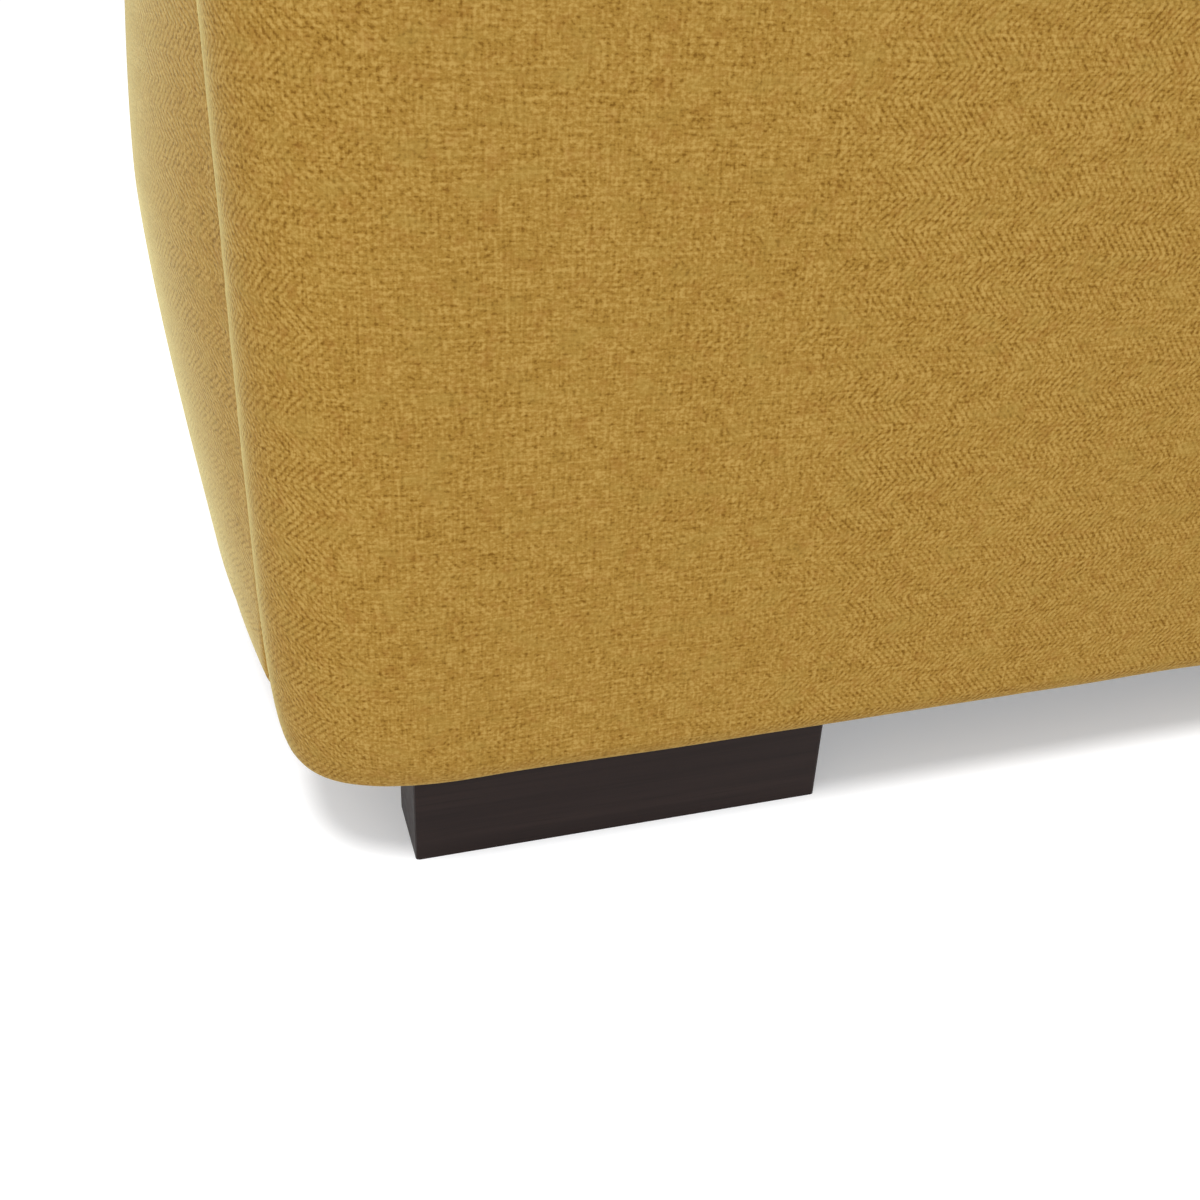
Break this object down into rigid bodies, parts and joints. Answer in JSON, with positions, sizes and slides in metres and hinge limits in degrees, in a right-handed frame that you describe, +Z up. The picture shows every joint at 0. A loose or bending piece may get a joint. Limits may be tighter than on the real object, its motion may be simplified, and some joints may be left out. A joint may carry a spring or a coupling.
{
  "type": "storage ottoman",
  "caption": "Upholstered storage ottoman: a fabric-covered box on dark block feet, with crowned sides, recessed corner seams and a cushion lid hinged at the back.",
  "frame": {"origin": "on the floor, under the middle of the ottoman", "axes": "+Z up, the front faces -Y, +X to the right seen from the front; the lid is hinged at +Y"},
  "size_m": [0.8976, 0.62, 0.44],
  "materials": {
    "cover_fabric": "matte",
    "foam": "matte",
    "dark_wood": "satin",
    "chipboard": "matte",
    "plywood": "matte",
    "pine": "matte",
    "lining": "matte",
    "zinc_steel": "satin"
  },
  "bodies": {
    "box": {"front_board": "chipboard", "back_board": "chipboard", "left_board": "chipboard", "right_board": "chipboard", "bottom_panel": "plywood", "corner_block_front_left": "pine", "corner_block_front_right": "pine", "corner_block_back_left": "pine", "corner_block_back_right": "pine", "foot_front_left": "dark_wood", "foot_front_right": "dark_wood", "foot_back_left": "dark_wood", "foot_back_right": "dark_wood", "foot_screw_front_left_1": "zinc_steel", "foot_screw_front_left_2": "zinc_steel", "foot_screw_front_right_1": "zinc_steel", "foot_screw_front_right_2": "zinc_steel", "foot_screw_back_left_1": "zinc_steel", "foot_screw_back_left_2": "zinc_steel", "foot_screw_back_right_1": "zinc_steel", "foot_screw_back_right_2": "zinc_steel", "front_pad": "foam", "back_pad": "foam", "left_pad": "foam", "right_pad": "foam", "front_cover": "cover_fabric", "back_cover": "cover_fabric", "left_cover": "cover_fabric", "right_cover": "cover_fabric", "storage_lining": "lining", "dust_cover": "lining", "hinge_leaf_box_left": "zinc_steel", "hinge_leaf_box_right": "zinc_steel", "hinge_pin_left": "zinc_steel", "hinge_pin_right": "zinc_steel", "hinge_screw_box_left_1": "zinc_steel", "hinge_screw_box_left_2": "zinc_steel", "hinge_screw_box_right_1": "zinc_steel", "hinge_screw_box_right_2": "zinc_steel", "stay_bracket_box_left": "zinc_steel", "stay_bracket_box_right": "zinc_steel"},
    "lid": {"lid_board": "plywood", "lid_foam": "foam", "lid_cover": "cover_fabric", "lid_lining": "lining", "hinge_leaf_lid_left": "zinc_steel", "hinge_leaf_lid_right": "zinc_steel", "hinge_screw_lid_left_1": "zinc_steel", "hinge_screw_lid_left_2": "zinc_steel", "hinge_screw_lid_right_1": "zinc_steel", "hinge_screw_lid_right_2": "zinc_steel", "stay_bracket_lid_left": "zinc_steel", "stay_bracket_lid_right": "zinc_steel"},
    "stay_lower_left": {"stay_arm_lower_left": "zinc_steel"},
    "stay_upper_left": {"stay_arm_upper_left": "zinc_steel"},
    "stay_lower_right": {"stay_arm_lower_right": "zinc_steel"},
    "stay_upper_right": {"stay_arm_upper_right": "zinc_steel"}
  },
  "joints": [
    {"name": "lid_hinge", "type": "hinge", "parent": "box", "child": "lid", "pos_m": [0, 0.305, 0.3197], "axis": [-1, 0, 0], "range_deg": [0, 90]},
    {"name": "stay_lower_left_pivot", "type": "hinge", "parent": "box", "child": "stay_lower_left", "pos_m": [-0.3587, 0.22, 0.2397], "axis": [-1, 0, 0], "range_deg": [0, 90]},
    {"name": "stay_upper_left_pivot", "type": "hinge", "parent": "lid", "child": "stay_upper_left", "pos_m": [-0.3562, 0.115, 0.2957], "axis": [-1, 0, 0], "range_deg": [-90, 0]},
    {"name": "stay_lower_right_pivot", "type": "hinge", "parent": "box", "child": "stay_lower_right", "pos_m": [0.3587, 0.22, 0.2397], "axis": [-1, 0, 0], "range_deg": [0, 90]},
    {"name": "stay_upper_right_pivot", "type": "hinge", "parent": "lid", "child": "stay_upper_right", "pos_m": [0.3562, 0.115, 0.2957], "axis": [-1, 0, 0], "range_deg": [-90, 0]}
  ],
  "couplings": [
    {"joint": "stay_lower_left_pivot", "follows": "lid_hinge", "ratio": 1},
    {"joint": "stay_upper_left_pivot", "follows": "lid_hinge", "ratio": -1},
    {"joint": "stay_lower_right_pivot", "follows": "lid_hinge", "ratio": 1},
    {"joint": "stay_upper_right_pivot", "follows": "lid_hinge", "ratio": -1}
  ]
}
